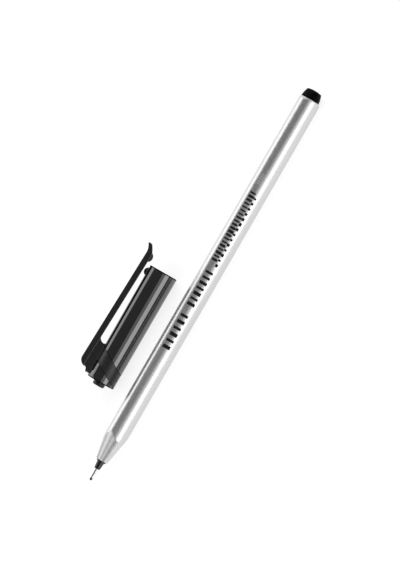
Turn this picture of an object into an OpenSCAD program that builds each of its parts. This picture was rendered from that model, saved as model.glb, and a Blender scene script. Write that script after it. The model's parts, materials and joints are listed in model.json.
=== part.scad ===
// Capped stick ballpoint pen, with its cap taken off and laid beside it.
// Millimetres. The pen lies along X with its point towards -X, on one of its three faces.
// The origin is on the table, under the middle of the pen. +Y runs towards the cap, +Z is up.

/* [Barrel] */
// Length of the silver barrel, from nose to rear rim
barrel_length = 134.2; // [110:0.2:160]
// Distance from the axis to the middle of a face
face_r = 3.55; // [3.2:0.05:4]
// Radius of the bow across each of the three faces
face_bow_r = 4.6; // [4.5:0.1:5.5]
// Width of the flat along the middle of each face
face_flat = 1.4; // [0.8:0.1:2]
// Height taken off the three ridges
ridge_trim = 0.12; // [0.05:0.01:0.25]
// Radius of the nose where the point comes out
nose_end_r = 2.08; // [1.9:0.02:2.4]
// Half angle of the nose cone, in degrees
nose_angle = 10.3; // [8:0.1:14]
// Bevel round the rear rim
rim_bevel = 0.3; // [0.1:0.05:0.5]
// Thickness of the barrel wall at the middle of a face
barrel_wall = 1.05; // [0.8:0.05:1.2]

/* [Point] */
// Radius of the writing ball
ball_r = 0.35; // [0.25:0.01:0.4]
// Play of the ball in its socket
ball_play = 0.02; // [0.01:0.005:0.03]
// Part of the ball that stands out of the needle
ball_out = 0.18; // [0.12:0.01:0.2]
// Radius of the steel needle
needle_r = 0.55; // [0.48:0.01:0.65]
// Length of needle that shows, ball included
needle_out = 4.25; // [3:0.05:6]
// Length of needle held inside the tip holder
needle_in = 5; // [3:0.1:7]
// Length over which the needle narrows towards the ball
lip_length = 0.7; // [0.5:0.05:1]
// Amount by which its radius narrows there
lip_taper = 0.15; // [0.1:0.01:0.17]
// Radius of the ink channel in the needle
channel_r = 0.2; // [0.12:0.01:0.25]
// Length of tip holder that shows
holder_out = 3.1; // [2.4:0.05:4]
// Radius of the holder at its front
holder_front_r = 1; // [0.85:0.01:1.1]
// Radius of the holder at its flange
holder_back_r = 1.25; // [1.15:0.01:1.35]
// Rounding of the holder's front edge
holder_round = 0.3; // [0.1:0.05:0.3]
// Radius of the flange that stops against the nose
flange_r = 1.5; // [1.4:0.01:1.8]
// Thickness of that flange
flange_t = 0.35; // [0.2:0.05:0.6]
// Radius of the hole in the nose that holds the tip
seat_r = 1.25; // [1.1:0.01:1.3]
// Length of that hole
seat_length = 5; // [3:0.1:7]

/* [Refill] */
// Outer radius of the ink tube
tube_r = 1.6; // [1.45:0.01:1.65]
// Wall of the ink tube
tube_wall = 0.45; // [0.3:0.05:0.5]
// Length of the ink tube
tube_length = 100; // [70:1:105]
// Room round the ink tube where the barrel's bore begins
tube_room = 0.15; // [0.05:0.05:0.3]
// Length over which the bore widens from there
throat_length = 4; // [2:0.5:8]
// Length of ink in the tube
ink_length = 78; // [40:1:85]
// Length of the holder's tail inside the tube
tail_length = 5; // [3:0.1:7]

/* [End plug] */
// Height of the plug above the barrel's rear rim
plug_out = 3.4; // [2.4:0.1:5]
// Step from the barrel's rear rim in to the plug's foot
plug_inset = 0.05; // [0:0.05:0.3]
// Radius of the plug at its top edge
plug_top_r = 2.5; // [2:0.05:2.7]
// Rise of the dome on top
plug_dome = 0.35; // [0.2:0.05:0.5]
// Radius of the bow down the plug's side
plug_bow_r = 9; // [7:0.5:14]
// Length of the plug inside the barrel
spigot_length = 8; // [5:0.5:12]
// Radius of the air hole through the plug
vent_r = 0.4; // [0.25:0.05:0.6]

/* [Cap] */
// Length of the cap's shell
cap_length = 41.1; // [36:0.05:46]
// Room between the barrel's ridges and the cap
cap_play = 0.1; // [0.05:0.01:0.2]
// Wall of the shell at its mouth
cap_wall = 0.8; // [0.6:0.05:1]
// Amount by which the shell is slimmer at its closed end
cap_taper = 0.12; // [0:0.02:0.3]
// Rounding of the closed end's edge
cap_round = 0.4; // [0.2:0.1:0.8]
// Rounding of the mouth's outer edge
mouth_round = 0.35; // [0.2:0.05:0.5]
// Thickness of the closed end
cap_end_t = 1.6; // [1.2:0.1:2.2]
// Length of the round bore that takes the barrel
grip_length = 26; // [22:0.5:28]
// Radius of the pocket that clears the point
pocket_r = 2.7; // [2.3:0.05:2.7]
// Radius of the round plug on the closed end
stub_r = 2.05; // [1.8:0.05:2.5]
// Height of that plug above the closed end
stub_out = 1.4; // [0.8:0.1:2]
// Rounding of its outer edge
stub_round = 0.4; // [0.2:0.05:0.6]
// Radius of the plug's shank in the closed end
stub_shank_r = 1.5; // [1.2:0.05:1.7]
// Radius of the breathing hole through the plug
stub_vent_r = 0.6; // [0.4:0.05:0.8]
// Start of the slanted matt band, along the cap's axis
sash_start = 3.2; // [3:0.1:5]
// Width of the band along the cap
sash_width = 5; // [3:0.1:6]
// Slant of the band, in degrees
sash_slant = 30.5; // [20:0.5:31]
// Depth of the band below the glossy skin
sash_depth = 0.08; // [0.04:0.02:0.14]
// Distance from the mouth back to the middle of the bead
bead_back = 1.95; // [1.6:0.05:2.5]
// Radius of the bead under the clip
bead_r = 1.45; // [1:0.05:1.6]
// Height of the bead above the shell
bead_rise = 0.85; // [0.6:0.05:1]

/* [Clip] */
// Width of the clip's arm
clip_width = 3.6; // [3:0.1:4.5]
// Thickness of the arm
clip_t = 1.95; // [1.6:0.05:2.1]
// Width of the web and of the bump under the arm
web_width = 2.4; // [1.8:0.1:2.8]
// Distance from the closed end to the clip's root
root_start = 2; // [1.4:0.1:2.6]
// Rounding of the root's outer corner
root_round = 2.6; // [2.3:0.1:3]
// Distance from the closed end to the foot of the web
web_foot = 0.65; // [0.4:0.05:1]
// Height of that foot above the shell
foot_rise = 0.7; // [0.4:0.05:1]
// Distance from the closed end to the end of the web
web_end = 11.8; // [10.5:0.1:12.5]
// Length of the round end of the gap behind the web
gap_round = 0.9; // [0.6:0.1:1.2]
// Straight height of the web above the shell before that round end
gap_foot = 0.3; // [0.1:0.05:0.5]
// Height of the clip's back above the shell at its root
root_rise = 4.45; // [4.2:0.05:5]
// Height of its back above the shell over the bump
waist_rise = 3.13; // [3:0.01:3.5]
// Height of its back above the shell at the tip
tip_rise = 3.94; // [3.6:0.02:4.3]
// Thickness of the tip
tip_t = 0.9; // [0.7:0.05:1.2]
// Length of the clip past the cap's mouth
clip_past = 6.25; // [5.5:0.05:7.5]
// Distance from the mouth to the middle of the clip's bump
bump_past = 2.45; // [2:0.05:2.7]
// Length of straight clip from the middle of the bump to the flare
flare_past = 1.1; // [0.8:0.05:1.6]
// Radius of the bump
bump_r = 1.85; // [1.5:0.05:1.9]
// Height of the bump above the line of the shell
bump_rise = 0.35; // [0.2:0.05:0.6]
// Length of the neck in which the clip bends
neck_length = 4; // [3:0.1:5]

/* [Placing] */
// Distance from the ball to the cap's closed end, along the pen
cap_from_ball = 28.7; // [20:0.1:60]
// Distance between the axes of pen and cap on the table
cap_aside = 14.5; // [12:0.1:30]
// Angle of the clip above the table, in degrees
clip_lift = 30; // [20:1:60]

/* [Hidden] */
$fn = 96;
// Radial overlap of parts pressed together, and the room left round the ink
press = 0.01;
ink_room = 0.01;
// Margin by which cutting shapes run past what they cut
past = 1;
// Lap of the web under the arm's root
lap = 0.1;

// Soft triangle of the barrel: each face is a bow whose centre lies behind the axis
face_bow_back = sqrt(pow(face_bow_r, 2) - pow(face_flat / 2, 2)) - face_r;
bows_meet_r = (sqrt(4 * pow(face_bow_r, 2) - 3 * pow(face_bow_back, 2)) - face_bow_back) / 2;
ridge_r = bows_meet_r - ridge_trim;

// Places along the pen, counted from the ball's front
holder_x = needle_out;
barrel_x = holder_x + holder_out;
seat_end_x = barrel_x + seat_length;
tail_end_x = seat_end_x + tail_length;
rear_x = barrel_x + barrel_length;
pen_length = rear_x + plug_out;

// Inside of the barrel
bore_r = face_r - barrel_wall;
rim_r = face_r - rim_bevel;
throat_r = tube_r + tube_room;
envelope_r = ridge_r + past;

// Cap
cap_bore_r = ridge_r + cap_play;
cap_r = cap_bore_r + cap_wall;
cap_back_r = cap_r - cap_taper;
grip_start = cap_length - grip_length;
pocket_start = grip_start - (cap_bore_r - pocket_r) / tan(nose_angle);

// Clip, with heights counted from the cap's axis
root_h = cap_r + root_rise;
waist_h = cap_r + waist_rise;
tip_h = cap_r + tip_rise;
bump_a = cap_length + bump_past;
clip_end = cap_length + clip_past;
neck_start = web_end + gap_round;
neck_end = neck_start + neck_length;
flare_a = bump_a + flare_past;
root_centre = [root_start + root_round, back_h(root_start + root_round) - root_round];

// Height of the arm's back at a distance along the cap
function back_h(a) = root_h + (waist_h - root_h) * (a - root_start) / (bump_a - root_start);

// Points of an arc about a centre, from angle a0 to a1
function arc(c, r, a0, a1) =
    [for (i = [0:6]) let (a = a0 + (a1 - a0) * i / 6) c + r * [cos(a), sin(a)]];

// Centre of the arc of radius r through p and q that bows to the right of the way from p to q
function bow_centre(p, q, r) =
    let (d = (q - p) / norm(q - p), h = sqrt(r * r - pow(norm(q - p) / 2, 2)))
    (p + q) / 2 + h * [-d[1], d[0]];

// Local Z runs along the pen from x behind the ball's front, and local X points down
module on_pen(x) {
    translate([x - pen_length / 2, 0, face_r])
        rotate([0, 90, 0])
            children();
}

// Local X runs along the cap from its closed end to its mouth, and local Y points to the clip
module on_cap() {
    translate([cap_from_ball - pen_length / 2, cap_aside, cap_r])
        rotate([clip_lift, 0, 0])
            children();
}

// Turns a shape made round Z so that it lies along the cap
module along_cap() {
    rotate([0, 90, 0])
        children();
}

// Section of the barrel
module soft_triangle() {
    intersection() {
        circle(r = ridge_r);
        rotate(180)
            circle(r = 2 * face_r, $fn = 3);
        intersection_for (turn = [0, 120, 240])
            rotate(turn)
                translate([-face_bow_back, 0])
                    circle(r = face_bow_r);
    }
}

module barrel() {
    nose_length = (envelope_r - nose_end_r) / tan(nose_angle);
    envelope = [[0, 0], [nose_end_r, 0], [envelope_r, nose_length],
                [envelope_r, barrel_length - (envelope_r - rim_r)],
                [rim_r, barrel_length], [0, barrel_length]];
    bore = [[0, -past], [seat_r, -past], [seat_r, seat_length], [throat_r, seat_length],
            [bore_r, seat_length + throat_length], [bore_r, barrel_length + past], [0, barrel_length + past]];
    color("silver")
        on_pen(barrel_x)
            difference() {
                intersection() {
                    linear_extrude(barrel_length)
                        soft_triangle();
                    rotate_extrude()
                        polygon(envelope);
                }
                rotate_extrude()
                    polygon(bore);
            }
}

// Half outline of the plug's head: a bowed side under a low dome
module plug_half() {
    foot = [rim_r - plug_inset, 0];
    shoulder = [plug_top_r, plug_out - plug_dome];
    dome_r = (pow(plug_top_r, 2) + pow(plug_dome, 2)) / (2 * plug_dome);
    intersection() {
        square([foot[0], plug_out]);
        translate(bow_centre(foot, shoulder, plug_bow_r))
            circle(r = plug_bow_r);
        translate([0, plug_out - dome_r])
            circle(r = dome_r);
    }
}

module end_plug() {
    color([0.05, 0.05, 0.05])
        on_pen(rear_x)
            difference() {
                union() {
                    rotate_extrude()
                        plug_half();
                    translate([0, 0, -spigot_length])
                        cylinder(r = bore_r + press, h = spigot_length + plug_out / 4);
                }
                translate([0, 0, -spigot_length - past])
                    cylinder(r = vent_r, h = spigot_length + plug_out + 2 * past);
            }
}

module refill_tube() {
    color([0.85, 0.87, 0.88])
        on_pen(seat_end_x)
            difference() {
                cylinder(r = tube_r, h = tube_length);
                translate([0, 0, -past])
                    cylinder(r = tube_r - tube_wall, h = tube_length + 2 * past);
            }
}

module ink_column() {
    color([0.03, 0.03, 0.05])
        on_pen(tail_end_x)
            cylinder(r = tube_r - tube_wall - ink_room, h = ink_length);
}

module tip_holder() {
    tail_z = holder_out + seat_length;
    outline = concat(
        [[0, 0]],
        arc([holder_front_r - holder_round, holder_round], holder_round, -90, 0),
        [[holder_back_r, holder_out - flange_t], [flange_r, holder_out - flange_t], [flange_r, holder_out],
         [seat_r + press, holder_out], [seat_r + press, tail_z],
         [tube_r - tube_wall + press, tail_z], [tube_r - tube_wall + press, tail_z + tail_length],
         [0, tail_z + tail_length]]);
    color([0.06, 0.06, 0.06])
        on_pen(holder_x)
            difference() {
                rotate_extrude()
                    polygon(outline);
                translate([0, 0, -past])
                    cylinder(r = needle_r - press, h = needle_in + past);
                translate([0, 0, needle_in - past])
                    cylinder(r = needle_r - channel_r, h = tail_z + tail_length);
            }
}

module needle() {
    color([0.75, 0.75, 0.76])
        on_pen(0)
            difference() {
                rotate_extrude()
                    polygon([[0, ball_out], [needle_r - lip_taper, ball_out],
                             [needle_r, ball_out + lip_length], [needle_r, needle_out + needle_in],
                             [0, needle_out + needle_in]]);
                translate([0, 0, ball_r])
                    sphere(r = ball_r + ball_play);
                translate([0, 0, ball_r])
                    cylinder(r = channel_r, h = needle_out + needle_in);
            }
}

module ball() {
    color([0.25, 0.25, 0.27])
        on_pen(ball_r)
            sphere(r = ball_r);
}

// Outer body of the shell, drawn in by an inset
module cap_body(inset = 0) {
    edge = cap_back_r - inset;
    along_cap()
        rotate_extrude()
            polygon(concat(
                [[0, 0]],
                arc([edge - cap_round, cap_round], cap_round, -90, 0),
                arc([cap_r - inset - mouth_round, cap_length - mouth_round], mouth_round, 0, 90),
                [[0, cap_length]]));
}

// Room inside the shell: the round bore, the cone that stops the nose, and the pocket for the point
module cap_room() {
    along_cap() {
        translate([0, 0, grip_start])
            cylinder(r = cap_bore_r, h = grip_length + past);
        translate([0, 0, pocket_start])
            cylinder(r1 = pocket_r, r2 = cap_bore_r, h = grip_start - pocket_start);
        translate([0, 0, cap_end_t])
            cylinder(r = pocket_r, h = grip_start - cap_end_t);
        translate([0, 0, -past])
            cylinder(r = stub_shank_r, h = cap_end_t + 2 * past);
    }
}

// Slanted slab that marks out the matt band
module sash_slab() {
    reach = cap_r + past;
    slip = reach * tan(sash_slant);
    linear_extrude(2 * reach, center = true)
        polygon([[sash_start - slip, -reach], [sash_start + slip, reach],
                 [sash_start + sash_width + slip, reach], [sash_start + sash_width - slip, -reach]]);
}

// Web that carries the clip: its foot runs out towards the closed end, and the gap behind it has a round end
module clip_web() {
    under = back_h(neck_start) - clip_t;
    gap_h = cap_r + gap_foot;
    linear_extrude(web_width, center = true)
        polygon(concat(
            [[web_end, cap_bore_r], [web_foot, cap_bore_r], [web_foot, cap_r + foot_rise],
             [root_start + lap, root_centre[1]],
             [root_start + 2 * lap, root_centre[1] + root_round - clip_t + lap],
             [neck_start, under + lap], [neck_start, under]],
            [for (turn = [75:-15:0])
                [web_end + gap_round * (1 - cos(turn)), gap_h + (under - gap_h) * sin(turn)]]));
}

// Root of the arm, with its rounded outer corner
module clip_root() {
    front_turn = asin((root_round - clip_t) / root_round);
    linear_extrude(clip_width, center = true)
        polygon(concat(
            arc(root_centre, root_round, 180 - front_turn, 90),
            [[neck_start, back_h(neck_start)], [neck_start, back_h(neck_start) - clip_t]]));
}

module cap_shell() {
    color([0.07, 0.07, 0.08])
        on_cap()
            difference() {
                union() {
                    difference() {
                        cap_body();
                        difference() {
                            sash_slab();
                            cap_body(sash_depth);
                        }
                    }
                    translate([cap_length - bead_back, cap_r + bead_rise - bead_r, 0])
                        sphere(r = bead_r);
                    clip_web();
                    clip_root();
                }
                cap_room();
            }
}

module cap_vent_plug() {
    outline = concat(
        [[0, -stub_out]],
        arc([stub_r - stub_round, stub_round - stub_out], stub_round, -90, 0),
        [[stub_r, 0], [stub_shank_r + press, 0], [stub_shank_r + press, cap_end_t], [0, cap_end_t]]);
    color([0.07, 0.07, 0.08])
        on_cap()
            along_cap()
                difference() {
                    rotate_extrude()
                        polygon(outline);
                    translate([0, 0, -stub_out - past])
                        cylinder(r = stub_vent_r, h = stub_out + cap_end_t + 2 * past);
                }
}

module clip_neck() {
    color([0.07, 0.07, 0.08])
        on_cap()
            linear_extrude(clip_width, center = true)
                polygon([[neck_start, back_h(neck_start)], [neck_end, back_h(neck_end)],
                         [neck_end, back_h(neck_end) - clip_t], [neck_start, back_h(neck_start) - clip_t]]);
}

// Side view of the arm's free length, whose back sweeps up to the tip
module arm_side() {
    flare_h = back_h(flare_a);
    flare_r = (pow(clip_end - flare_a, 2) + pow(tip_h - flare_h, 2)) / (2 * (tip_h - flare_h));
    flare_turn = asin((clip_end - flare_a) / flare_r);
    polygon(concat(
        [[neck_end, back_h(neck_end)]],
        arc([flare_a, flare_h + flare_r], flare_r, -90, flare_turn - 90),
        [[clip_end, tip_h - tip_t], [flare_a, flare_h - clip_t], [neck_end, back_h(neck_end) - clip_t]]));
}

// Side view of the bump, the part of a disc that lies below the middle of the arm
module bump_side() {
    intersection() {
        translate([bump_a, cap_r + bump_rise + bump_r])
            circle(r = bump_r);
        translate([bump_a - bump_r, cap_r])
            square([2 * bump_r, waist_h - clip_t / 2 - cap_r]);
    }
}

module clip_arm() {
    color([0.07, 0.07, 0.08])
        on_cap() {
            linear_extrude(clip_width, center = true)
                arm_side();
            linear_extrude(web_width, center = true)
                bump_side();
        }
}

barrel();
end_plug();
refill_tube();
ink_column();
tip_holder();
needle();
ball();
cap_shell();
cap_vent_plug();
clip_neck();
clip_arm();
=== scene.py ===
"""Dresses a capped stick ballpoint pen: silver barrel, needle point, black plug, and the cap beside it.

Lengths in the classes are millimetres, as on a drawing, except in the studio, and angles are degrees. Places
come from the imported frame, and a mesh is written in metres in that same frame: +X from the point to the
plug, +Y towards the cap, +Z up.
"""

from __future__ import annotations

import json
import logging
import math
from dataclasses import dataclass
from enum import Enum
from typing import Callable, NamedTuple, Sequence

import bmesh
import bpy
from mathutils import Matrix, Vector

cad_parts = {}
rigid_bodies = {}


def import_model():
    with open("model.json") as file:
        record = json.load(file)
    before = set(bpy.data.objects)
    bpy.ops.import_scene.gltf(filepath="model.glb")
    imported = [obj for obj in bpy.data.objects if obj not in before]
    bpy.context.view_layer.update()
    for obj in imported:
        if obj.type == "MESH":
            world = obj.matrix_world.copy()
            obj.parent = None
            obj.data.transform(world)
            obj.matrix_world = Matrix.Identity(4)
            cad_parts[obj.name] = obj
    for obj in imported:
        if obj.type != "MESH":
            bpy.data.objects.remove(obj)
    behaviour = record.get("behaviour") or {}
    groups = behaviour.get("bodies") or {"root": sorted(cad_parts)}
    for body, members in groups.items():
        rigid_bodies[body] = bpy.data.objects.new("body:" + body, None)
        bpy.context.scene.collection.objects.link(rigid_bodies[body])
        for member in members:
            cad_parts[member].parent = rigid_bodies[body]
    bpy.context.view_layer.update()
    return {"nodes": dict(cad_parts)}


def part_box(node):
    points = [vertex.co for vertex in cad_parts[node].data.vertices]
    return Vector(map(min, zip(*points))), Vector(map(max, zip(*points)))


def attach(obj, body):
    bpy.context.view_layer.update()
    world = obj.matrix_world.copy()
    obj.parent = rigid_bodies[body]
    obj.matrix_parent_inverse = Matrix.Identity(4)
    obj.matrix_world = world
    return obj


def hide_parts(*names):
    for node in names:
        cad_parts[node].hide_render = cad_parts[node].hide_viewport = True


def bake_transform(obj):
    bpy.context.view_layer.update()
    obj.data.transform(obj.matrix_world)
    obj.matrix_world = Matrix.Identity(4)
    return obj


LOG = logging.getLogger("pen")
MM = 0.001
IMAGE_W = 400
IMAGE_H = 570
WHITE = (1.0, 1.0, 1.0, 1.0)

Point = tuple[float, float]
Colour = tuple[float, float, float, float]
Placer = Callable[[float, float, float], Vector]


class Body(Enum):
    """The rigid bodies that pieces ride on."""

    PEN = "pen"
    CAP = "cap"
    CLIP = "clip"


class Slot(Enum):
    """The record's material slots."""

    SILVER = "silver_plastic"
    BLACK = "black_plastic"
    CAP = "cap_plastic"
    STEEL = "needle_steel"


class CapFace(Enum):
    """Places of the cover's finishes in its list of materials."""

    GLOSS = 0
    MATT = 1
    # Dull black faces on the band's edges and the shell's rims: painted shade and painted dark reflections.
    SEAM = 2


# Outlines and meshes

ARC_STEPS = 6
ROUND_SHARE = 0.49  # the most of a side that the rounding at one of its ends takes
WELD = 1e-9  # metres


class Corner(NamedTuple):
    """One corner of an outline that is turned about an axis.

    Attributes:
        x: place along the axis, in millimetres.
        r: distance from the axis, in millimetres.
        round: radius of the rounding at this corner.
        cuts: extra points on the way to the next corner.
    """

    x: float
    r: float
    round: float = 0.0
    cuts: int = 0


def ramp(start: float, end: float, steps: int) -> list[float]:
    """Evenly spaced numbers from start to end, both included."""
    return [start + (end - start) * k / steps for k in range(steps + 1)]


def full_turn(segments: int) -> list[float]:
    """Angles of the points of a ring, in radians."""
    return [2 * math.pi * s / segments for s in range(segments)]


def rounded(corners: Sequence[Corner], steps: int = ARC_STEPS) -> list[Point]:
    """Turns a closed outline's corners into arcs.

    Args:
        corners: the outline's corners, in order.
        steps: points along each arc, less one.

    Returns:
        The outline's points.
    """
    points: list[Point] = []
    places = [Vector((corner.x, corner.r)) for corner in corners]
    for i, corner in enumerate(corners):
        here, following = places[i], places[(i + 1) % len(places)]
        points += corner_arc(here, places[i - 1], following, corner.round, steps)
        start = Vector(points[-1])
        for k in range(1, corner.cuts + 1):
            points.append(tuple(start.lerp(following, k / (corner.cuts + 1))))
    return points


def corner_arc(here: Vector, before: Vector, after: Vector, radius: float, steps: int) -> list[Point]:
    """Rounds one corner.

    Args:
        here: the corner.
        before: the corner before it.
        after: the next corner.
        radius: radius of the rounding; 0 keeps the corner sharp.
        steps: points along the arc, less one.

    Returns:
        The arc's points, or the corner alone.
    """
    if radius <= 0:
        return [tuple(here)]
    back, ahead = before - here, after - here
    one, two = back.normalized(), ahead.normalized()
    half = one.angle(two) / 2
    reach = min(radius / math.tan(half), ROUND_SHARE * back.length, ROUND_SHARE * ahead.length)
    depth = reach * math.tan(half)
    centre = here + (one + two).normalized() * (depth / math.sin(half))
    return sweep(centre, here + one * reach, here + two * reach, steps)


def bowed(start: Point, end: Point, radius: float, steps: int) -> list[Point]:
    """Points of a shallow arc from start to end that bows away from the axis.

    Args:
        start: first point, as a place along the axis and a distance from it.
        end: last point.
        radius: radius of the arc.
        steps: points along the arc, less one.

    Returns:
        The arc's points, both ends included.
    """
    a, b = Vector(start), Vector(end)
    chord = b - a
    inward = Vector((chord.y, -chord.x)).normalized()
    centre = (a + b) / 2 + inward * math.sqrt(radius**2 - (chord.length / 2) ** 2)
    return sweep(centre, a, b, steps)


def sweep(centre: Vector, first: Vector, last: Vector, steps: int) -> list[Point]:
    """Points of an arc round a centre.

    Args:
        centre: the arc's centre.
        first: its first point.
        last: its last point.
        steps: points along the arc, less one.

    Returns:
        The arc's points, both ends included.
    """
    arm = first - centre
    angle = arm.angle_signed(last - centre)
    return [tuple(Matrix.Rotation(-angle * k / steps, 2) @ arm + centre) for k in range(steps + 1)]


def mesh_from(name: str, verts: Sequence[Vector], faces: Sequence[Sequence[int]]) -> bpy.types.Mesh:
    """Makes a smooth-shaded mesh whose faces point outwards.

    Args:
        name: the mesh's name.
        verts: its points, in metres.
        faces: its faces, as indices of points.

    Returns:
        The new mesh.
    """
    mesh = bpy.data.meshes.new(name)
    mesh.from_pydata([tuple(v) for v in verts], [], [tuple(f) for f in faces])
    work = bmesh.new()
    work.from_mesh(mesh)
    bmesh.ops.remove_doubles(work, verts=work.verts, dist=WELD)
    bmesh.ops.recalc_face_normals(work, faces=work.faces)
    work.to_mesh(mesh)
    work.free()
    mesh.polygons.foreach_set("use_smooth", [True] * len(mesh.polygons))
    mesh.update()
    return mesh


def lathe(name: str, outline: Sequence[Point], place: Placer, segments: int) -> bpy.types.Mesh:
    """Turns a closed outline about an axis.

    Args:
        name: the mesh's name.
        outline: closed outline, as places along the axis and distances from it.
        place: gives the point for a place, a distance and an angle.
        segments: faces round the axis.

    Returns:
        The closed ring-shaped mesh.
    """
    verts = [place(x, r, turn) for x, r in outline for turn in full_turn(segments)]
    return mesh_from(name, verts, ring_faces(len(outline), segments, closed=True))


def ring_faces(rings: int, segments: int, closed: bool) -> list[tuple[int, int, int, int]]:
    """Faces between successive rings of points.

    Args:
        rings: how many rings there are.
        segments: points on each ring.
        closed: whether the last ring joins the first.

    Returns:
        Four-sided faces.
    """
    faces = []
    for i in range(rings if closed else rings - 1):
        j = (i + 1) % rings
        for s in range(segments):
            t = (s + 1) % segments
            faces.append((i * segments + s, i * segments + t, j * segments + t, j * segments + s))
    return faces


def add_object(
    name: str, mesh: bpy.types.Mesh, material: bpy.types.Material | None = None
) -> bpy.types.Object:
    """Puts a mesh in the scene at the origin.

    Args:
        name: the object's name.
        mesh: its mesh.
        material: its material, where the mesh has none yet.

    Returns:
        The new object.
    """
    if material is not None:
        mesh.materials.append(material)
    obj = bpy.data.objects.new(name, mesh)
    bpy.context.scene.collection.objects.link(obj)
    return obj


def join_meshes(name: str, meshes: Sequence[bpy.types.Mesh]) -> bpy.types.Mesh:
    """Joins meshes that share their list of materials.

    Args:
        name: the new mesh's name.
        meshes: the meshes to join, which are removed.

    Returns:
        One mesh with the first one's materials.
    """
    work = bmesh.new()
    for mesh in meshes:
        work.from_mesh(mesh)
    joined = bpy.data.meshes.new(name)
    for material in meshes[0].materials:
        joined.materials.append(material)
    work.to_mesh(joined)
    work.free()
    for mesh in meshes:
        bpy.data.meshes.remove(mesh)
    return joined


def finish_piece(obj: bpy.types.Object, body: Body, slot: Slot, *nodes: str) -> bpy.types.Object:
    """Lets a piece ride on a body and stand for CAD nodes.

    Args:
        obj: the piece.
        body: the body that it rides on.
        slot: the record's material slot; not used.
        nodes: the CAD nodes that it stands for.

    Returns:
        The piece.
    """
    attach(obj, body.value)
    if nodes:
        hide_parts(*nodes)
    LOG.info("%s: %d faces on %s", obj.name, len(obj.data.polygons), body.value)
    return obj


# Node trees

Value = float | tuple | bpy.types.NodeSocket
MARK_CUTS_ALONG = 3
MARK_CUTS_AROUND = 7


class Graph:
    """Adds nodes to a tree and links them."""

    def __init__(self, tree: bpy.types.NodeTree) -> None:
        """Keeps the tree that nodes are added to."""
        self.tree = tree

    def add(self, kind: str, **settings: object) -> bpy.types.Node:
        """Adds a node.

        Args:
            kind: the node's type name.
            settings: properties to set on it.

        Returns:
            The new node.
        """
        node = self.tree.nodes.new(kind)
        for key, value in settings.items():
            setattr(node, key, value)
        return node

    def feed(self, target: bpy.types.NodeSocket, value: Value) -> None:
        """Links a socket to another, or sets its own value."""
        if isinstance(value, bpy.types.NodeSocket):
            self.tree.links.new(value, target)
        else:
            target.default_value = value

    def fill(self, node: bpy.types.Node, **inputs: Value) -> bpy.types.NodeOutputs:
        """Feeds inputs of a node.

        Args:
            node: the node.
            inputs: a value or socket for each input, with the spaces of its name as underscores.

        Returns:
            The node's outputs.
        """
        for label, value in inputs.items():
            self.feed(node.inputs[label.replace("_", " ")], value)
        return node.outputs

    def wired(self, kind: str, **inputs: Value) -> bpy.types.NodeOutputs:
        """Adds a node and feeds its inputs, as fill does."""
        return self.fill(self.add(kind), **inputs)

    def math(self, operation: str, *values: Value) -> bpy.types.NodeSocket:
        """Adds a Math node.

        Args:
            operation: the node's operation.
            values: numbers or sockets for its inputs, in order.

        Returns:
            The node's output.
        """
        node = self.add("ShaderNodeMath", operation=operation)
        for socket, value in zip(node.inputs, values):
            self.feed(socket, value)
        return node.outputs[0]

    def vector(self, x: Value, y: Value = 0.0, z: Value = 0.0) -> bpy.types.NodeSocket:
        """Joins three numbers or sockets in a vector."""
        return self.wired("ShaderNodeCombineXYZ", X=x, Y=y, Z=z)[0]

    def spot(self) -> bpy.types.NodeOutputs:
        """The parts X, Y and Z of each point's place."""
        place = self.add("GeometryNodeInputPosition").outputs[0]
        return self.wired("ShaderNodeSeparateXYZ", Vector=place)


class ShapeTree:
    """A Geometry Nodes tree with named inputs, which is run on an object and made a plain mesh."""

    def __init__(self, name: str, inputs: dict[str, str]) -> None:
        """Starts the tree.

        Args:
            name: the tree's name.
            inputs: each input's name and socket type, after the geometry.
        """
        self.tree = bpy.data.node_groups.new(name, "GeometryNodeTree")
        self.graph = Graph(self.tree)
        self.tree.interface.new_socket("Geometry", in_out="INPUT", socket_type="NodeSocketGeometry")
        self.ids: dict[str, str] = {}
        for label, kind in inputs.items():
            socket = self.tree.interface.new_socket(label, in_out="INPUT", socket_type=kind)
            self.ids[label] = socket.identifier
        self.tree.interface.new_socket("Geometry", in_out="OUTPUT", socket_type="NodeSocketGeometry")
        self.source = self.graph.add("NodeGroupInput").outputs

    def end(self, geometry: Value, x: Value, side: Value, up: Value) -> None:
        """Closes the tree: moves the points, then smooth faces, real meshes, the material and the output.

        Args:
            geometry: what is moved.
            x: each point's new place along the pen.
            side: its new place across the pen.
            up: its new height above the pen's axis.
        """
        graph = self.graph
        place = graph.vector(x, side, graph.math("ADD", up, self.source["Axis height"]))
        moved = graph.wired("GeometryNodeSetPosition", Geometry=geometry, Position=place)
        smooth = graph.wired("GeometryNodeSetShadeSmooth", Geometry=moved["Geometry"])
        real = graph.wired("GeometryNodeRealizeInstances", Geometry=smooth["Geometry"])
        material = self.source["Material"]
        dressed = graph.wired("GeometryNodeSetMaterial", Geometry=real["Geometry"], Material=material)
        graph.wired("NodeGroupOutput", Geometry=dressed["Geometry"])

    def run(self, obj: bpy.types.Object, **values: object) -> bpy.types.Object:
        """Runs the tree on an object and keeps the result as its plain mesh.

        Args:
            obj: the object that carries the tree's input mesh.
            values: a value for each input, with its spaces written as underscores.

        Returns:
            The same object with its new mesh.
        """
        modifier = obj.modifiers.new(self.tree.name, "NODES")
        modifier.node_group = self.tree
        for label, identifier in self.ids.items():
            modifier[identifier] = values[label.replace(" ", "_")]
        graph = bpy.context.evaluated_depsgraph_get()
        mesh = bpy.data.meshes.new_from_object(obj.evaluated_get(graph))
        obj.modifiers.remove(modifier)
        old = obj.data
        obj.data = mesh
        bpy.data.meshes.remove(old)
        return obj


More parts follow.
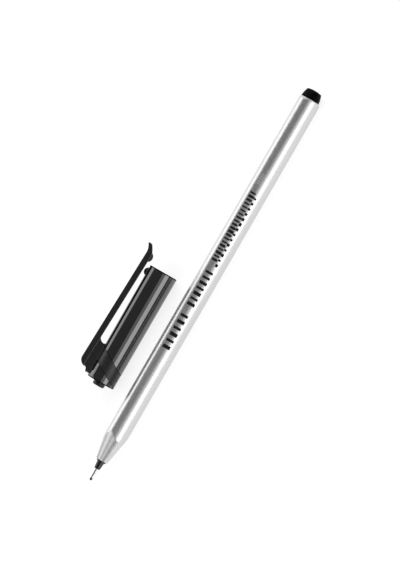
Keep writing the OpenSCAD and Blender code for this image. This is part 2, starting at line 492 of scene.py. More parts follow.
@dataclass(frozen=True)
class SoftTriangle:
    """Section of the barrel: three bowed faces that meet in blunt ridges, one face down.

    Attributes:
        face_r: distance from the axis to the middle of a face.
        bow_r: radius of the bow across a face.
        ridge_r: distance from the axis to a ridge.
        softness: width over which neighbouring surfaces run together.
    """

    face_r: float = 3.55
    bow_r: float = 4.6
    ridge_r: float = 3.9
    softness: float = 0.1

    def inputs(self, axis_z: float) -> dict[str, float]:
        """The section's sizes as tree inputs, in metres.

        Args:
            axis_z: height of the pen's axis, in metres.

        Returns:
            A value for each of the section's inputs.
        """
        return {
            "Face_radius": self.face_r * MM,
            "Bow_radius": self.bow_r * MM,
            "Ridge_radius": self.ridge_r * MM,
            "Softness": self.softness * MM,
            "Axis_height": axis_z,
        }


SECTION_SIZES = ("Face radius", "Bow radius", "Ridge radius", "Softness", "Axis height")
SECTION_INPUTS = dict.fromkeys(SECTION_SIZES, "NodeSocketFloat") | {"Material": "NodeSocketMaterial"}
ROW_SIZES = ("Start", "Pitch", "Mark length", "Mark height", "Shortest", "Film", "Around")
ROW_INPUTS = dict.fromkeys(ROW_SIZES, "NodeSocketFloat") | dict.fromkeys(("Count", "Seed"), "NodeSocketInt")


def section_radius(tree: ShapeTree, angle: bpy.types.NodeSocket) -> bpy.types.NodeSocket:
    """Adds the nodes that give the soft triangle's radius at an angle.

    Args:
        tree: the tree, which has the section's inputs.
        angle: angle round the axis from +Y towards +Z, in radians.

    Returns:
        The radius.
    """
    m, source = tree.graph.math, tree.source
    bow = source["Bow radius"]
    back = m("SUBTRACT", bow, source["Face radius"])
    fold = m("WRAP", m("ADD", angle, math.pi / 2), -math.pi / 3, math.pi / 3)
    across = m("MULTIPLY", back, m("SINE", fold))
    along = m("MULTIPLY", back, m("COSINE", fold))
    reach = m("SQRT", m("SUBTRACT", m("MULTIPLY", bow, bow), m("MULTIPLY", across, across)))
    return m("SMOOTH_MIN", m("SUBTRACT", reach, along), source["Ridge radius"], source["Softness"])


def section_tree() -> ShapeTree:
    """Tree that draws a turned blank in to the soft triangle, as the nose cone runs into the faces.

    Returns:
        The finished tree.
    """
    tree = ShapeTree("soft_triangle_section", SECTION_INPUTS)
    m, source, spot = tree.graph.math, tree.source, tree.graph.spot()
    side = spot["Y"]
    up = m("SUBTRACT", spot["Z"], source["Axis height"])
    radius = m("SQRT", m("ADD", m("MULTIPLY", side, side), m("MULTIPLY", up, up)))
    limit = section_radius(tree, m("ARCTAN2", up, side))
    drawn = m("DIVIDE", m("SMOOTH_MIN", radius, limit, source["Softness"]), radius)
    tree.end(source["Geometry"], spot["X"], m("MULTIPLY", side, drawn), m("MULTIPLY", up, drawn))
    return tree


def marks_tree() -> ShapeTree:
    """Tree that prints a row of plain marks on a face of the barrel.

    Each mark is a thin plate. The row is laid out flat and then wrapped on the section, so the marks follow
    the face's bow.

    Returns:
        The finished tree.
    """
    tree = ShapeTree("printed_marks", ROW_INPUTS | SECTION_INPUTS)
    graph, m, source = tree.graph, tree.graph.math, tree.source
    plate = graph.wired(
        "GeometryNodeMeshCube",
        Size=graph.vector(source["Mark length"], source["Mark height"], source["Film"]),
        Vertices_X=MARK_CUTS_ALONG,
        Vertices_Y=MARK_CUTS_AROUND,
    )
    row = graph.wired(
        "GeometryNodeMeshLine",
        Count=source["Count"],
        Start_Location=graph.vector(source["Start"]),
        Offset=graph.vector(source["Pitch"]),
    )
    chance = graph.add("FunctionNodeRandomValue", data_type="FLOAT")
    shortest, longest = [s for s in chance.inputs if s.type == "VALUE" and s.enabled]
    graph.feed(shortest, source["Shortest"])
    graph.feed(longest, 1.0)
    graph.feed(chance.inputs["Seed"], source["Seed"])
    share = next(s for s in chance.outputs if s.type == "VALUE" and s.enabled)
    spread = graph.wired(
        "GeometryNodeInstanceOnPoints",
        Points=row["Mesh"],
        Instance=plate["Mesh"],
        Scale=graph.vector(share, 1.0, 1.0),
    )
    real = graph.wired("GeometryNodeRealizeInstances", Geometry=spread["Instances"])
    spot = graph.spot()
    angle = m("ADD", source["Around"], m("DIVIDE", spot["Y"], source["Face radius"]))
    radius = m("ADD", section_radius(tree, angle), spot["Z"])
    side, up = (m("MULTIPLY", radius, m(part, angle)) for part in ("COSINE", "SINE"))
    tree.end(real["Geometry"], spot["X"], side, up)
    return tree


# Finishes

FINE_OCTAVES = 3.0
BROAD_OCTAVES = 2.0
BROAD_SHARE = 0.08  # grains of the broad noise to one of the fine
TONE_SPAN = (0.35, 0.65)  # noise from which the tone is darkest to lightest
GLOSS_SPAN = (0.3, 0.7)  # noise from which the gloss is smoothest to dullest


def grey(level: float) -> Colour:
    """A linear grey as a colour."""
    return (level, level, level, 1.0)


def new_material(name: str) -> tuple[bpy.types.Material, bpy.types.Node]:
    """Makes a material with nodes.

    Args:
        name: the material's name.

    Returns:
        The material and its Principled shader.
    """
    material = bpy.data.materials.new(name)
    material.use_nodes = True
    return material, next(n for n in material.node_tree.nodes if n.type == "BSDF_PRINCIPLED")


@dataclass(frozen=True)
class Finish:
    """A procedural finish: a grainy tone, an uneven gloss and a fine relief.

    Attributes:
        name: the material's name.
        dark: grey of the darker grain, linear.
        light: grey of the lighter grain, linear.
        gloss: roughness where it is smoothest and where it is dullest.
        grain: size of the grain, in millimetres.
        relief: height of the relief, in millimetres.
        ior: refractive index of the skin.
        metallic: share of metal in the surface.
        draw: how many times longer than wide the grain is along the pen.
    """

    name: str
    dark: float
    light: float
    gloss: tuple[float, float]
    grain: float
    relief: float = 0.0
    ior: float = 1.5
    metallic: float = 0.0
    draw: float = 1.0

    def build(self) -> bpy.types.Material:
        """Makes the material.

        Returns:
            A new material whose nodes read Object coordinates.
        """
        material, shader = new_material(self.name)
        graph = Graph(material.node_tree)
        place = graph.wired(
            "ShaderNodeMapping",
            Vector=graph.add("ShaderNodeTexCoord").outputs["Object"],
            Scale=(1 / self.draw, 1.0, 1.0),
        )[0]
        fine = self.noise(graph, place, 1 / (self.grain * MM), FINE_OCTAVES)
        broad = self.noise(graph, place, BROAD_SHARE / (self.grain * MM), BROAD_OCTAVES)
        tone = graph.add("ShaderNodeValToRGB")
        low, high = tone.color_ramp.elements
        low.position, high.position = TONE_SPAN
        low.color, high.color = grey(self.dark), grey(self.light)
        graph.feed(tone.inputs[0], fine)
        dull = graph.wired(
            "ShaderNodeMapRange",
            Value=broad,
            From_Min=GLOSS_SPAN[0],
            From_Max=GLOSS_SPAN[1],
            To_Min=self.gloss[0],
            To_Max=self.gloss[1],
        )
        graph.fill(shader, Base_Color=tone.outputs[0], Roughness=dull[0])
        graph.fill(shader, Metallic=self.metallic, IOR=self.ior)
        if self.relief > 0:
            bump = graph.wired("ShaderNodeBump", Strength=1.0, Distance=self.relief * MM, Height=fine)
            graph.fill(shader, Normal=bump[0])
        return material

    @staticmethod
    def noise(graph: Graph, place: Value, scale: float, octaves: float) -> bpy.types.NodeSocket:
        """Adds a noise texture.

        Args:
            graph: the material's nodes.
            place: the coordinates that it reads.
            scale: grains to the metre.
            octaves: octaves of finer grain.

        Returns:
            The noise, from 0 to 1.
        """
        return graph.wired("ShaderNodeTexNoise", Vector=place, Scale=scale, Detail=octaves)[0]


@dataclass(frozen=True)
class Finishes:
    """All finishes of the pen, made once."""

    silver: bpy.types.Material
    plug: bpy.types.Material
    holder: bpy.types.Material
    cap: bpy.types.Material
    sash: bpy.types.Material
    seam: bpy.types.Material
    stub: bpy.types.Material
    steel: bpy.types.Material
    lip: bpy.types.Material
    carbide: bpy.types.Material
    tube: bpy.types.Material
    ink: bpy.types.Material
    print: bpy.types.Material
    pale: bpy.types.Material

    @classmethod
    def make(cls) -> Finishes:
        """Makes every finish.

        Returns:
            The finishes.
        """
        looks = {
            "silver": Finish(
                "silver_plastic", 0.66, 0.72, gloss=(0.27, 0.3), grain=0.06, relief=0.0004, metallic=0.85
            ),
            "plug": Finish(
                "plug_black", 0.002, 0.005, gloss=(0.35, 0.45), grain=0.12, relief=0.002, ior=1.12
            ),
            "holder": Finish("holder_black", 0.003, 0.005, gloss=(0.03, 0.05), grain=0.1, ior=1.6),
            "cap": Finish("cap_black", 0.004, 0.006, gloss=(0.06, 0.09), grain=0.3, relief=0.001, ior=2.1),
            "sash": Finish(
                "cap_matt_band", 0.004, 0.014, gloss=(0.34, 0.42), grain=0.11, relief=0.01, ior=1.55
            ),
            # Dull near-black finish: painted shade in the band's edges and painted dark reflections on the
            # cap's rims.
            "seam": Finish("cap_painted_shade", 0.001, 0.002, gloss=(0.8, 0.9), grain=0.2, ior=1.1),
            "stub": Finish("cap_satin", 0.006, 0.012, gloss=(0.32, 0.42), grain=0.12, relief=0.003),
            "steel": Finish(
                "needle_steel",
                0.6,
                0.68,
                gloss=(0.08, 0.12),
                grain=0.05,
                relief=0.0008,
                metallic=1.0,
                draw=12.0,
            ),
            # Dark steel on the needle's lip: a painted dark reflection.
            "lip": Finish("needle_lip_painted_dark", 0.05, 0.08, gloss=(0.3, 0.4), grain=0.05, metallic=1.0),
            "carbide": Finish("ball_carbide", 0.03, 0.05, gloss=(0.25, 0.35), grain=0.05, metallic=1.0),
            "tube": Finish("tube_cloudy", 0.7, 0.78, gloss=(0.3, 0.4), grain=0.4),
            "ink": Finish("ink_black", 0.004, 0.006, gloss=(0.05, 0.1), grain=0.5),
            "print": Finish(
                "print_black", 0.002, 0.005, gloss=(0.45, 0.6), grain=0.08, relief=0.001, ior=1.3
            ),
            "pale": Finish("print_pale", 0.42, 0.55, gloss=(0.4, 0.5), grain=0.08, relief=0.001),
        }
        return cls(**{name: look.build() for name, look in looks.items()})


# Sub-assemblies


@dataclass
class PenStick:
    """The pen without its cap: barrel, end plug and point."""

    section: SoftTriangle

    # Barrel. The blank stands proud of the section by so many times its softness.
    nose_end_r: float = 2.08
    nose_angle: float = 10.3
    nose_edge: float = 0.06
    rim_bevel: float = 0.3
    rim_edge: float = 0.08
    bore_r: float = 2.5
    seat_r: float = 1.25
    seat_edge: float = 0.05
    seat_length: float = 5.0
    throat_length: float = 4.0
    blank_over: float = 2.5
    cone_cuts: int = 110
    shaft_cuts: int = 60
    bevel_cuts: int = 16
    rim_cuts: int = 2
    barrel_sides: int = 240

    # End plug
    plug_inset: float = 0.05
    plug_sink: float = 0.01
    plug_top_r: float = 2.5
    plug_dome: float = 0.35
    plug_bow_r: float = 9.0
    plug_vent_r: float = 0.4
    plug_edge: float = 0.25
    spigot_length: float = 8.0
    spigot_play: float = 0.02
    plug_steps: int = 12
    plug_sides: int = 160

    # Holder of the point
    holder_front_r: float = 1.0
    holder_back_r: float = 1.25
    holder_round: float = 0.35
    holder_mouth_edge: float = 0.03
    flange_r: float = 1.62
    flange_t: float = 0.5
    flange_fillet: float = 0.08
    flange_front_edge: float = 0.05
    flange_back_edge: float = 0.03
    shank_play: float = 0.01
    tail_step: float = 0.15
    needle_grip: float = 0.005
    holder_cuts: int = 6
    holder_steps: int = 8
    holder_sides: int = 128

    # Needle
    needle_r: float = 0.55
    needle_edge: float = 0.05
    lip_r: float = 0.4
    lip_edge: float = 0.03
    lip_length: float = 0.7
    lip_blend: float = 0.3
    # Length of the lip that carries the painted dark reflection.
    painted_dark_lip_length: float = 0.35
    socket_r: float = 0.37
    channel_r: float = 0.2
    needle_cuts: int = 4
    socket_steps: int = 10
    needle_sides: int = 72

    def __post_init__(self) -> None:
        """Reads the places of the pen's pieces from the frame."""
        low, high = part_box("barrel")
        ball_low, ball_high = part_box("ball")
        holder_low, holder_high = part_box("tip_holder")
        needle_low, needle_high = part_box("needle")
        self.axis_z = (ball_low.z + ball_high.z) / 2
        self.nose_x, self.rear_x = low.x, high.x
        self.barrel_length = (high.x - low.x) / MM
        self.plug_out = (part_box("end_plug")[1].x - self.rear_x) / MM
        self.ball_x, self.ball_r = ball_low.x, (ball_high.x - ball_low.x) / 2 / MM
        self.holder_x, self.holder_length = holder_low.x, (holder_high.x - holder_low.x) / MM
        self.holder_out = (self.nose_x - self.holder_x) / MM
        self.needle_x, self.needle_length = needle_low.x, (needle_high.x - needle_low.x) / MM

    def place(self, from_x: float) -> Placer:
        """A placer for outlines turned about the pen's axis.

        Args:
            from_x: the outline's zero, in metres along X.

        Returns:
            The placer.
        """

        def at(x: float, r: float, angle: float) -> Vector:
            """The point at a place, a distance and an angle."""
            side, up = r * math.cos(angle) * MM, r * math.sin(angle) * MM
            return Vector((from_x + x * MM, side, self.axis_z + up))

        return at

    def barrel(self, tree: ShapeTree, material: bpy.types.Material) -> bpy.types.Object:
        """Makes the silver barrel: a turned blank drawn in to the soft triangle.

        Args:
            tree: the tree that draws it in.
            material: its finish.

        Returns:
            The barrel.
        """
        wide = self.section.ridge_r + self.blank_over * self.section.softness
        rim_r = self.section.face_r - self.rim_bevel
        length = self.barrel_length
        cone_end = (wide - self.nose_end_r) / math.tan(math.radians(self.nose_angle))
        outline = rounded(
            [
                Corner(0, self.nose_end_r, self.nose_edge, cuts=self.cone_cuts),
                Corner(cone_end, wide, cuts=self.shaft_cuts),
                Corner(length - (wide - rim_r), wide, cuts=self.bevel_cuts),
                Corner(length, rim_r, self.rim_edge, cuts=self.rim_cuts),
                Corner(length, self.bore_r, cuts=self.rim_cuts),
                Corner(self.seat_length + self.throat_length, self.bore_r),
                Corner(self.seat_length, self.seat_r),
                Corner(0, self.seat_r, self.seat_edge),
            ]
        )
        mesh = lathe("barrel_tube", outline, self.place(self.nose_x), self.barrel_sides)
        blank = add_object("barrel_tube", mesh)
        tree.run(blank, Material=material, **self.section.inputs(self.axis_z))
        return finish_piece(blank, Body.PEN, Slot.SILVER, "barrel")

    def plug(self, material: bpy.types.Material) -> bpy.types.Object:
        """Makes the black plug in the barrel's rear end, with its bowed side and domed top.

        Args:
            material: its finish.

        Returns:
            The plug.
        """
        foot_r = self.section.face_r - self.rim_bevel - self.plug_inset
        spigot_r = self.bore_r - self.spigot_play
        shoulder = (self.plug_out - self.plug_dome, self.plug_top_r)
        side = bowed((0, foot_r), shoulder, self.plug_bow_r, self.plug_steps)
        dome_r = (self.plug_top_r**2 + self.plug_dome**2) / (2 * self.plug_dome)
        dome = bowed(shoulder, (self.plug_out, self.plug_vent_r), dome_r, self.plug_steps)
        # The soft edge takes the place of the points next to the shoulder.
        edge = Vector(shoulder), Vector(side[-2]), Vector(dome[2])
        soft = corner_arc(*edge, self.plug_edge, ARC_STEPS)
        hidden = [
            (-self.spigot_length, self.plug_vent_r),
            (-self.spigot_length, spigot_r),
            (-self.plug_sink, spigot_r),
            (-self.plug_sink, foot_r),
        ]
        outline = side[:-1] + soft + dome[2:] + hidden
        mesh = lathe("end_plug_head", outline, self.place(self.rear_x), self.plug_sides)
        return finish_piece(add_object("end_plug_head", mesh, material), Body.PEN, Slot.BLACK, "end_plug")

    def holder(self, material: bpy.types.Material) -> bpy.types.Object:
        """Makes the black holder of the point, with its flange against the nose.

        Args:
            material: its finish.

        Returns:
            The holder.
        """
        out, shank = self.holder_out, self.seat_r - self.shank_play
        front, bore = out - self.flange_t, self.needle_r - self.needle_grip
        tail_x, tail_r = out + self.seat_length, shank - self.tail_step
        outline = rounded(
            [
                Corner(0, bore, self.holder_mouth_edge),
                Corner(0, self.holder_front_r, self.holder_round, cuts=self.holder_cuts),
                Corner(front, self.holder_back_r, self.flange_fillet),
                Corner(front, self.flange_r, self.flange_front_edge),
                Corner(out, self.flange_r, self.flange_back_edge),
                Corner(out, shank),
                Corner(tail_x, shank),
                Corner(tail_x, tail_r),
                Corner(self.holder_length, tail_r),
                Corner(self.holder_length, bore),
            ],
            self.holder_steps,
        )
        mesh = lathe("tip_holder_cone", outline, self.place(self.holder_x), self.holder_sides)
        cone = add_object("tip_holder_cone", mesh, material)
        return finish_piece(cone, Body.PEN, Slot.BLACK, "tip_holder")

    def needle(self, steel: bpy.types.Material, lip: bpy.types.Material) -> bpy.types.Object:
        """Makes the steel needle, whose lip is turned in round the ball.

        Args:
            steel: finish of the drawn tube.
            lip: dark finish of the lip, which paints a dark reflection there.

        Returns:
            The needle.
        """
        seat_x, seat_r = self.ball_r + (self.ball_x - self.needle_x) / MM, self.socket_r
        mouth_r = math.sqrt(seat_r**2 - seat_x**2)
        turn = math.acos(-seat_x / seat_r)
        last = math.asin(self.channel_r / seat_r)
        turns = ramp(last, turn, self.socket_steps)[:-1]
        seat = [(seat_x + seat_r * math.cos(t), seat_r * math.sin(t)) for t in turns]
        skin = rounded(
            [
                Corner(0, mouth_r),
                Corner(0, self.lip_r, self.lip_edge),
                Corner(self.lip_length, self.needle_r, self.lip_blend, cuts=self.needle_cuts),
                Corner(self.needle_length, self.needle_r, self.needle_edge),
                Corner(self.needle_length, self.channel_r),
            ]
        )
        mesh = lathe("needle_tube", skin + seat, self.place(self.needle_x), self.needle_sides)
        mesh.materials.append(steel)
        mesh.materials.append(lip)
        for face in mesh.polygons:
            # Faces next to the ball take the dark lip finish, a painted dark reflection.
            face.material_index = 1 if face.center.x < self.needle_x + self.painted_dark_lip_length * MM else 0
        return finish_piece(add_object("needle_tube", mesh), Body.PEN, Slot.STEEL, "needle")

    def build(self, finishes: Finishes) -> list[bpy.types.Object]:
        """Makes every piece of the stick.

        Args:
            finishes: the pen's finishes.

        Returns:
            The new pieces.
        """
        return [
            self.barrel(section_tree(), finishes.silver),
            self.plug(finishes.plug),
            self.holder(finishes.holder),
            self.needle(finishes.steel, finishes.lip),
        ]


@dataclass(frozen=True)
class MarkRow:
    """A row of plain printed marks on the barrel.

    Attributes:
        name: the piece's name.
        start: distance from the ball to the first mark, in millimetres.
        count: number of marks.
        pitch: distance from mark to mark.
        length: length of a mark along the pen.
        height: height of a mark round the barrel.
        around: angle of the row round the axis, from +Y towards +Z, in degrees.
        shortest: shortest mark as a share of the longest.
        pale: whether the marks are pale instead of black.
    """

    name: str
    start: float
    count: int
    pitch: float
    length: float
    height: float
    around: float
    shortest: float = 1.0
    pale: bool = False


@dataclass
class Print:
    """The plain marks printed along the barrel, which stand for no word or sign."""

    stick: PenStick
    film: float = 0.03
    seed: int = 4
    rows: tuple[MarkRow, ...] = (
        MarkRow("print_bars_first", 49.6, 6, 2.3, 1.35, 2.6, 117.2, 0.6),
        MarkRow("print_bars_second", 65.4, 7, 1.95, 1.2, 2.6, 117.2, 0.6),
        MarkRow("print_lines", 81.6, 20, 1.3, 1.0, 1.9, 107.4, 0.45),
        MarkRow("print_dashes", 80.2, 14, 1.9, 1.2, 0.95, 131.0, 0.5),
        MarkRow("print_pale_ticks", 109.8, 5, 0.8, 0.35, 1.5, 109.0, pale=True),
    )

    def build(self, finishes: Finishes) -> list[bpy.types.Object]:
        """Prints every row.

        Args:
            finishes: the pen's finishes.

        Returns:
            One piece for each row.
        """
        tree = marks_tree()
        made = []
        for row in self.rows:
            sheet = add_object(row.name, bpy.data.meshes.new(row.name))
            tree.run(
                sheet,
                Count=row.count,
                Start=self.stick.ball_x + row.start * MM,
                Pitch=row.pitch * MM,
                Mark_length=row.length * MM,
                Mark_height=row.height * MM,
                Shortest=row.shortest,
                Film=self.film * MM,
                Around=math.radians(row.around),
                Seed=self.seed,
                Material=finishes.pale if row.pale else finishes.print,
                **self.stick.section.inputs(self.stick.axis_z),
            )
            made.append(finish_piece(sheet, Body.PEN, Slot.BLACK))
        return made


PLATE_RIM = 60.0  # degrees; edges that turn by more are rounded
PLATE_RIM_CUTS = 3
PLATE_CREASE = 35.0  # degrees; edges that turn by more stay crisp
FLAT = 0.999  # cosine from which a face counts as flat across the cap


class Ring(NamedTuple):
    """One ring of points on the cap's shell.

    Attributes:
        a: place along the cap.
        slope: how far the ring leans along the cap for each millimetre towards the clip.
        r: radius, or 0 for the skin's own.
        depth: depth below the skin.
    """

    a: float
    slope: float = 0.0
    r: float = 0.0
    depth: float = 0.0


@dataclass
class ClipCap:
    """The cap taken off the pen: shell with its slanted band, bead, web, springy clip and vent plug.

    Places along the cap count from its closed end, and heights from its axis towards the clip.
    """

    # Shell. Its core is round, and blunt ridges stand out of its skin.
    bore_r: float = 4.0
    wall: float = 0.8
    core_t: float = 0.3
    lining_t: float = 0.2
    taper: float = 0.12
    ridges: int = 3
    ridge_out: float = 0.26
    end_round: float = 0.35
    end_t: float = 1.6
    mouth_round: float = 0.35
    mouth_bevel: float = 0.12
    grip_length: float = 26.0
    pocket_r: float = 2.7
    nose_angle: float = 10.3
    crisp_from: float = 15.0
    round_steps: int = 8
    shell_sides: int = 192

    # Slanted matt band. Rings lean more and more before it, and straighten again behind it.
    sash_start: float = 3.2
    sash_width: float = 5.0
    sash_slant: float = 30.5
    sash_depth: float = 0.08
    sash_edge: float = 0.2
    straighten: float = 7.0
    lean_rings: int = 6
    sash_rings: int = 8
    straighten_rings: int = 10
    grip_rings: int = 24

    # Vent plug
    stub_r: float = 2.05
    stub_round: float = 0.45
    stub_edge: float = 0.03
    stub_lift: float = 0.005
    stub_shank_r: float = 1.5
    stub_play: float = 0.01
    stub_vent_r: float = 0.6
    stub_vent_edge: float = 0.1
    stub_sides: int = 96

    # Bead
    bead_back: float = 2.35
    bead_r: float = 1.45
    bead_rise: float = 0.95
    bead_foot: float = 0.35
    bead_under: float = 0.2
    bead_pole: float = 0.01
    bead_top: float = 89.5
    bead_steps: int = 12
    bead_sides: int = 48

    # Web
    web_width: float = 2.4
    web_inset: float = 0.06
    web_foot: float = 0.65
    web_end: float = 11.5
    foot_rise: float = 1.15
    foot_draft: float = 0.1
    front_draw: float = 0.3
    front_turn: float = 24.0
    front_steps: int = 6
    gap_round: float = 2.0
    gap_foot: float = 0.3
    gap_turn: float = 80.0
    gap_overlap: float = 0.1
    gap_steps: int = 12
    toe_past: float = 0.25
    toe_sink: float = 0.05

    # Clip
    clip_lift: float = 30.0
    clip_width: float = 3.6
    clip_t: float = 2.0
    clip_edge: float = 0.12
    clip_edge_share: float = 0.45
    clip_least_t: float = 0.02
    clip_past: float = 6.25
    root_start: float = 2.0
    root_round: float = 2.6
    root_rise: float = 4.5
    waist_rise: float = 3.2
    tip_rise: float = 4.35
    tip_t: float = 1.45
    tip_belly: float = 1.45
    tip_round: float = 0.3
    flare_past: float = 0.9
    root_steps: int = 14
    arm_steps: int = 80
    flare_steps: int = 24
    tip_steps: int = 8
    corner_steps: int = 5

    # Bump
    bump_past: float = 1.95
    bump_r: float = 1.85
    bump_rise: float = 0.35
    bump_from: float = 190.0
    bump_to: float = 350.0
    bump_steps: int = 32

    def __post_init__(self) -> None:
        """Reads the cap's place from the frame and works out what follows from its sizes."""
        stub_low, stub_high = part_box("cap_vent_plug")
        shell_low, shell_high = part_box("cap_shell")
        neck_low, neck_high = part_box("clip_neck")
        lift = math.radians(self.clip_lift)
        self.to_clip = Vector((0, math.cos(lift), math.sin(lift)))
        self.across = Vector((0, -math.sin(lift), math.cos(lift)))
        self.origin = Vector((shell_low.x, (stub_low.y + stub_high.y) / 2, (stub_low.z + stub_high.z) / 2))
        self.length = (shell_high.x - shell_low.x) / MM
        self.stub_out = (shell_low.x - stub_low.x) / MM
        self.neck_start = (neck_low.x - shell_low.x) / MM
        self.neck_end = (neck_high.x - shell_low.x) / MM
        self.cap_r = self.bore_r + self.wall
        self.core_r = self.bore_r + self.core_t
        self.slope = math.tan(math.radians(self.sash_slant))
        self.bend_a = self.root_start + self.root_round
        self.bump_a = self.length + self.bump_past
        self.clip_end = self.length + self.clip_past

    def at(self, a: float, h: float, w: float) -> Vector:
        """The point at a distance along the cap, a height towards the clip and a distance across."""
        return self.origin + Vector((a * MM, 0, 0)) + self.to_clip * (h * MM) + self.across * (w * MM)

    def turned(self, a: float, r: float, angle: float) -> Vector:
        """The point at a distance along the cap, a radius and an angle from the clip."""
        return self.at(a, r * math.cos(angle), r * math.sin(angle))

    def skin_r(self, a: float) -> float:
        """Radius of the shell's round skin at a distance along the cap."""
        return self.cap_r - self.taper * (1 - a / self.length)

    def lobe(self, angle: float) -> float:
        """How far the skin stands out of its round at an angle from the clip."""
        return self.ridge_out * (1 - math.cos(self.ridges * angle)) / 2

    def back_h(self, a: float) -> float:
        """Height of the clip's straight back at a distance along the cap."""
        share = (a - self.root_start) / (self.bump_a - self.root_start)
        return self.cap_r + self.root_rise + (self.waist_rise - self.root_rise) * share

    def shell(self, finishes: Finishes) -> bpy.types.Mesh:
        """Makes the shell.

        Args:
            finishes: the pen's finishes.

        Returns:
            The shell's closed mesh.
        """
        rings = self.skin_rings() + self.inner_rings()
        turns = full_turn(self.shell_sides)
        verts = [self.ring_point(ring, turn) for ring in rings for turn in turns]
        mesh = mesh_from("cap_cover", verts, ring_faces(len(rings), self.shell_sides, closed=True))
        mesh.set_sharp_from_angle(angle=math.radians(self.crisp_from))
        # The third finish is the painted shade for the band's edges and the rims.
        for material in (finishes.cap, finishes.sash, finishes.seam):
            mesh.materials.append(material)
        self.mark_sash(mesh)
        return mesh

    def skin_rings(self) -> list[Ring]:
        """Rings of the shell's skin from its closed end to its mouth, which slant to follow the matt band.

        Returns:
            The rings, in order.
        """
        start, end = self.sash_start, self.sash_start + self.sash_width
        low, lip = self.end_round, self.length - self.mouth_round
        straight, end_r = end + self.straighten, self.skin_r(0)
        fillet = bowed((0, end_r - low), (low, end_r), low, self.round_steps)
        mouth_r = self.cap_r - self.mouth_round
        mouth = bowed((lip, self.cap_r), (self.length, mouth_r), self.mouth_round, self.round_steps)
        sunk = ramp(start, end, self.sash_rings)
        sunk[0], sunk[-1] = start + self.sash_edge, end - self.sash_edge
        rings = [Ring(0, r=self.stub_shank_r)]
        rings += [Ring(a, r=r) for a, r in fillet]
        rings += self.leaning((low, 0), (start, self.slope), self.lean_rings)
        rings += [Ring(a, self.slope, depth=self.sash_depth) for a in sunk]
        rings += [Ring(end, self.slope)]
        rings += self.leaning((end, self.slope), (straight, 0), self.straighten_rings)
        rings += self.leaning((straight, 0), (lip, 0), self.grip_rings)
        return rings + [Ring(a, r=r) for a, r in mouth[1:]]

    @staticmethod
    def leaning(start: Point, end: Point, count: int) -> list[Ring]:
        """Rings whose lean changes evenly.

        Args:
            start: place and slope that the rings follow on.
            end: place and slope of the last ring.
            count: number of rings.

        Returns:
            The rings, in order.
        """
        places, slopes = (ramp(one, two, count)[1:] for one, two in zip(start, end))
        return [Ring(a, slope) for a, slope in zip(places, slopes)]

    def inner_rings(self) -> list[Ring]:
        """Rings of the shell's inside, from its mouth to the hole for the vent plug.

        Returns:
            The rings, in order.
        """
        grip = self.length - self.grip_length
        pocket = grip - (self.bore_r - self.pocket_r) / math.tan(math.radians(self.nose_angle))
        outline = [
            (self.length, self.bore_r + self.mouth_bevel),
            (self.length - self.mouth_bevel, self.bore_r),
            (grip, self.bore_r),
            (pocket, self.pocket_r),
            (self.end_t, self.pocket_r),
            (self.end_t, self.stub_shank_r),
        ]
        return [Ring(a, r=r) for a, r in outline]

    def ring_point(self, ring: Ring, angle: float) -> Vector:
        """One point of the shell.

        Args:
            ring: the ring that it is on.
            angle: its angle from the clip.

        Returns:
            The point.
        """
        radius = ring.r or self.skin_r(ring.a) - ring.depth
        if radius > self.core_r:
            radius += self.lobe(angle)
        return self.turned(ring.a + ring.slope * radius * math.cos(angle), radius, angle)

    def mark_sash(self, mesh: bpy.types.Mesh) -> None:
        """Gives the slanted band its matt finish, and uses a dull black finish to paint shade on the band's
        edges and dark reflections on the shell's rims.
        """
        start, end = self.sash_start, self.sash_start + self.sash_width
        for face in mesh.polygons:
            out = Vector(face.center) - self.origin
            a, h = out.x / MM, out.dot(self.to_clip) / MM
            if math.hypot(h, out.dot(self.across) / MM) < self.bore_r + self.lining_t:
                continue
            inside = min(a - self.slope * h - start, end - a + self.slope * h)
            # The rims' roundings get a painted dark reflection, and the band's edge walls get painted shade.
            shaded_rim = a < self.end_round or a > self.length - self.mouth_round
            if shaded_rim or 0 < inside < self.sash_edge:
                face.material_index = CapFace.SEAM.value
            elif inside > 0:
                face.material_index = CapFace.MATT.value

    def bead(self) -> bpy.types.Mesh:
        """Makes the round bead on the shell near its mouth, matt as the band is.

        Returns:
            The bead's closed mesh, whose foot is inside the wall.
        """
        centre = self.cap_r + self.bead_rise - self.bead_r
        a = self.length - self.bead_back
        foot = math.asin((self.bore_r + self.bead_foot - centre) / self.bead_r)
        rows = ramp(foot, math.radians(self.bead_top), self.bead_steps)
        outline = [(centre + self.bead_r * math.sin(t), self.bead_r * math.cos(t)) for t in rows]
        outline += [(self.bore_r + self.bead_under, self.bead_pole)]

        def place(h: float, r: float, angle: float) -> Vector:
            """The point at a height, a radius and an angle round the bead's own axis."""
            return self.at(a + r * math.cos(angle), h, r * math.sin(angle))

        mesh = lathe("cap_bead", outline, place, self.bead_sides)
        mesh.polygons.foreach_set("material_index", [CapFace.MATT.value] * len(mesh.polygons))
        return mesh

